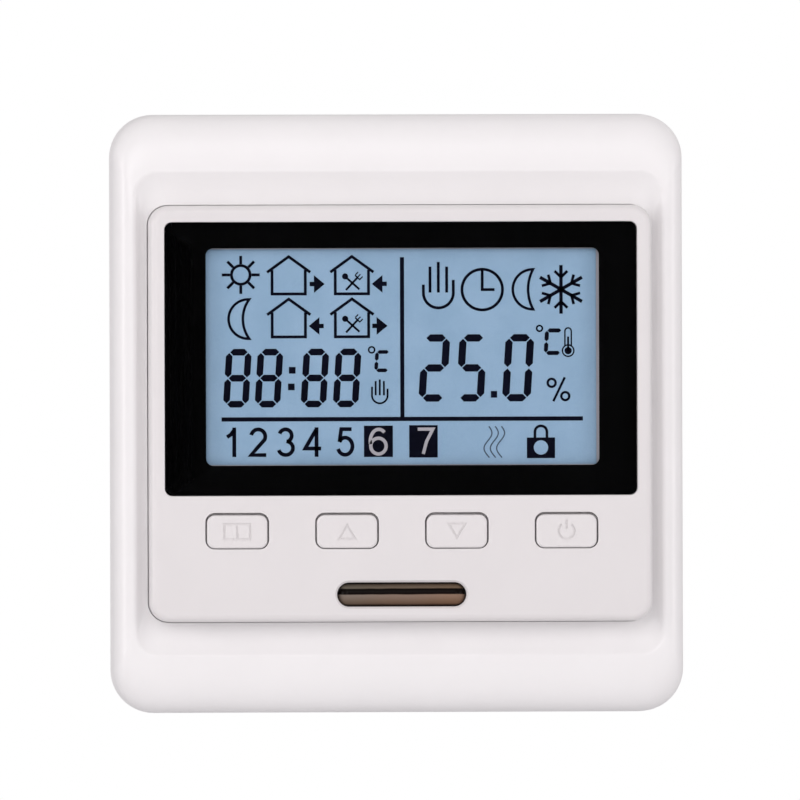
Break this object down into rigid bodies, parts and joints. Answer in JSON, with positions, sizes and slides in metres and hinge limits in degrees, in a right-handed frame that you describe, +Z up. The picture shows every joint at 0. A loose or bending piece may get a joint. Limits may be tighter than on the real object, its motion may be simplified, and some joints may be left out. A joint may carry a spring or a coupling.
{
  "type": "wall thermostat",
  "caption": "Flush-mounted wall thermostat with a pull-off frame and control module, wide LCD, push buttons, smoked lens and a screw-terminal base for a wall box.",
  "frame": {"origin": "centre of the wall-box screw pattern on the wall plane, at the back of the frame and plate", "axes": "+Z up on the wall, +X to the right as seen from the room, -Y out of the wall towards the room"},
  "size_m": [0.086, 0.0432, 0.09],
  "materials": {
    "white_plastic": "semi-gloss moulded ABS",
    "panel_plastic": "semi-gloss moulded ABS",
    "clear_window": "clear polished acrylic",
    "black_print": "matt black printed film",
    "lcd_glass": "blue-grey liquid crystal cell",
    "milky_plastic": "frosted light guide",
    "led_yellow": "small LED bodies",
    "conductive_rubber": "matt silicone",
    "smoked_lens": "smoked brown, polished",
    "red_lamp": "tinted epoxy",
    "sensor_bead": "epoxy bead",
    "green_board": "solder resist",
    "black_component": "moulded",
    "cell_steel": "stainless can",
    "pin_brass": "gold flashed",
    "grey_plastic": "moulded",
    "zinc_screw": "zinc plated",
    "zinc_plate": "zinc plated sheet",
    "spring_steel": "spring strip",
    "dark_plastic": "fine-textured flame-retardant moulding",
    "brown_board": "phenolic board",
    "white_socket": "moulded",
    "film_box": "potted box",
    "varistor_blue": "epoxy coated",
    "can_sleeve": "shrink sleeve",
    "fuse_ceramic": "ceramic tube",
    "terminal_green": "moulded",
    "tinned_brass": "tin plated",
    "terminal_screw_steel": "zinc plated",
    "clamp_steel": "zinc plated",
    "relay_blue": "moulded cover",
    "relay_base_black": "moulded",
    "copper_coil": "enamelled copper wire",
    "iron": "nickel-plated soft iron",
    "contact_metal": "brass with silver rivets"
  },
  "bodies": {
    "base": {"mounting_plate": "zinc_plate", "latch_springs": "spring_steel", "plate_rivets": "zinc_screw", "rear_housing": "dark_plastic", "housing_lid": "dark_plastic", "power_board": "brown_board", "plug_socket": "white_socket", "film_capacitor": "film_box", "varistor": "varistor_blue", "electrolytic_capacitor": "can_sleeve", "fuse": "fuse_ceramic", "terminal_block": "terminal_green", "terminal_tongues": "tinned_brass", "relay_case": "relay_blue", "relay_base": "relay_base_black", "relay_coil": "copper_coil", "relay_yoke": "iron", "relay_contacts": "contact_metal"},
    "relay_armature": {"relay_armature": "iron"},
    "outer_frame": {"outer_frame": "white_plastic"},
    "control_module": {"front_panel": "panel_plastic", "display_window": "clear_window", "display_mask": "black_print", "lcd_cell": "lcd_glass", "light_guide": "milky_plastic", "lcd_holder": "grey_plastic", "backlight_leds": "led_yellow", "lcd_connector_strip": "conductive_rubber", "switch_housings": "black_component", "switch_domes": "spring_steel", "indicator_lens": "smoked_lens", "control_board": "green_board", "microcontroller": "black_component", "board_components": "black_component", "backup_battery": "cell_steel", "indicator_led": "red_lamp", "air_sensor": "sensor_bead", "plug_pins": "pin_brass", "module_cover": "grey_plastic", "module_screws": "zinc_screw"},
    "button_menu": {"button_menu": "panel_plastic", "switch_plunger_menu": "milky_plastic"},
    "button_up": {"button_up": "panel_plastic", "switch_plunger_up": "milky_plastic"},
    "button_down": {"button_down": "panel_plastic", "switch_plunger_down": "milky_plastic"},
    "button_power": {"button_power": "panel_plastic", "switch_plunger_power": "milky_plastic"},
    "terminal_screw_1": {"terminal_screw_1": "terminal_screw_steel"},
    "terminal_clamp_1": {"terminal_clamp_1": "clamp_steel"},
    "terminal_screw_2": {"terminal_screw_2": "terminal_screw_steel"},
    "terminal_clamp_2": {"terminal_clamp_2": "clamp_steel"},
    "terminal_screw_3": {"terminal_screw_3": "terminal_screw_steel"},
    "terminal_clamp_3": {"terminal_clamp_3": "clamp_steel"},
    "terminal_screw_4": {"terminal_screw_4": "terminal_screw_steel"},
    "terminal_clamp_4": {"terminal_clamp_4": "clamp_steel"},
    "terminal_screw_5": {"terminal_screw_5": "terminal_screw_steel"},
    "terminal_clamp_5": {"terminal_clamp_5": "clamp_steel"},
    "terminal_screw_6": {"terminal_screw_6": "terminal_screw_steel"},
    "terminal_clamp_6": {"terminal_clamp_6": "clamp_steel"}
  },
  "joints": [
    {"name": "frame_pull", "type": "slide", "parent": "base", "child": "outer_frame", "axis": [0, -1, 0], "range_m": [0, 0.02], "deforming": ["latch_springs"]},
    {"name": "module_pull", "type": "slide", "parent": "outer_frame", "child": "control_module", "axis": [0, -1, 0], "range_m": [0, 0.025], "deforming": ["latch_springs"]},
    {"name": "relay_armature_pivot", "type": "hinge", "parent": "base", "child": "relay_armature", "pos_m": [0.00515, 0.0222, 0.0124], "axis": [0, 0, -1], "range_deg": [0, 4], "stiffness_Nm_per_rad": 0.02, "springref_deg": -2.86},
    {"name": "press_menu", "type": "slide", "parent": "control_module", "child": "button_menu", "axis": [0, 1, 0], "range_m": [0, 0.0003], "stiffness_N_per_m": 4000, "deforming": ["switch_domes"]},
    {"name": "press_up", "type": "slide", "parent": "control_module", "child": "button_up", "axis": [0, 1, 0], "range_m": [0, 0.0003], "stiffness_N_per_m": 4000, "deforming": ["switch_domes"]},
    {"name": "press_down", "type": "slide", "parent": "control_module", "child": "button_down", "axis": [0, 1, 0], "range_m": [0, 0.0003], "stiffness_N_per_m": 4000, "deforming": ["switch_domes"]},
    {"name": "press_power", "type": "slide", "parent": "control_module", "child": "button_power", "axis": [0, 1, 0], "range_m": [0, 0.0003], "stiffness_N_per_m": 4000, "deforming": ["switch_domes"]},
    {"name": "terminal_screw_turn_1", "type": "hinge", "parent": "base", "child": "terminal_screw_1", "pos_m": [-0.0127, 0.0246, -0.0178], "axis": [0, 1, 0], "range_deg": [0, 1728]},
    {"name": "terminal_clamp_rise_1", "type": "slide", "parent": "base", "child": "terminal_clamp_1", "axis": [0, 1, 0], "range_m": [0, 0.0024]},
    {"name": "terminal_screw_turn_2", "type": "hinge", "parent": "base", "child": "terminal_screw_2", "pos_m": [-0.00762, 0.0246, -0.0178], "axis": [0, 1, 0], "range_deg": [0, 1728]},
    {"name": "terminal_clamp_rise_2", "type": "slide", "parent": "base", "child": "terminal_clamp_2", "axis": [0, 1, 0], "range_m": [0, 0.0024]},
    {"name": "terminal_screw_turn_3", "type": "hinge", "parent": "base", "child": "terminal_screw_3", "pos_m": [-0.00254, 0.0246, -0.0178], "axis": [0, 1, 0], "range_deg": [0, 1728]},
    {"name": "terminal_clamp_rise_3", "type": "slide", "parent": "base", "child": "terminal_clamp_3", "axis": [0, 1, 0], "range_m": [0, 0.0024]},
    {"name": "terminal_screw_turn_4", "type": "hinge", "parent": "base", "child": "terminal_screw_4", "pos_m": [0.00254, 0.0246, -0.0178], "axis": [0, 1, 0], "range_deg": [0, 1728]},
    {"name": "terminal_clamp_rise_4", "type": "slide", "parent": "base", "child": "terminal_clamp_4", "axis": [0, 1, 0], "range_m": [0, 0.0024]},
    {"name": "terminal_screw_turn_5", "type": "hinge", "parent": "base", "child": "terminal_screw_5", "pos_m": [0.00762, 0.0246, -0.0178], "axis": [0, 1, 0], "range_deg": [0, 1728]},
    {"name": "terminal_clamp_rise_5", "type": "slide", "parent": "base", "child": "terminal_clamp_5", "axis": [0, 1, 0], "range_m": [0, 0.0024]},
    {"name": "terminal_screw_turn_6", "type": "hinge", "parent": "base", "child": "terminal_screw_6", "pos_m": [0.0127, 0.0246, -0.0178], "axis": [0, 1, 0], "range_deg": [0, 1728]},
    {"name": "terminal_clamp_rise_6", "type": "slide", "parent": "base", "child": "terminal_clamp_6", "axis": [0, 1, 0], "range_m": [0, 0.0024]}
  ],
  "couplings": [
    {"joint": "terminal_screw_turn_1", "follows": "terminal_clamp_rise_1", "rad_per_m": 12566},
    {"joint": "terminal_screw_turn_2", "follows": "terminal_clamp_rise_2", "rad_per_m": 12566},
    {"joint": "terminal_screw_turn_3", "follows": "terminal_clamp_rise_3", "rad_per_m": 12566},
    {"joint": "terminal_screw_turn_4", "follows": "terminal_clamp_rise_4", "rad_per_m": 12566},
    {"joint": "terminal_screw_turn_5", "follows": "terminal_clamp_rise_5", "rad_per_m": 12566},
    {"joint": "terminal_screw_turn_6", "follows": "terminal_clamp_rise_6", "rad_per_m": 12566}
  ]
}
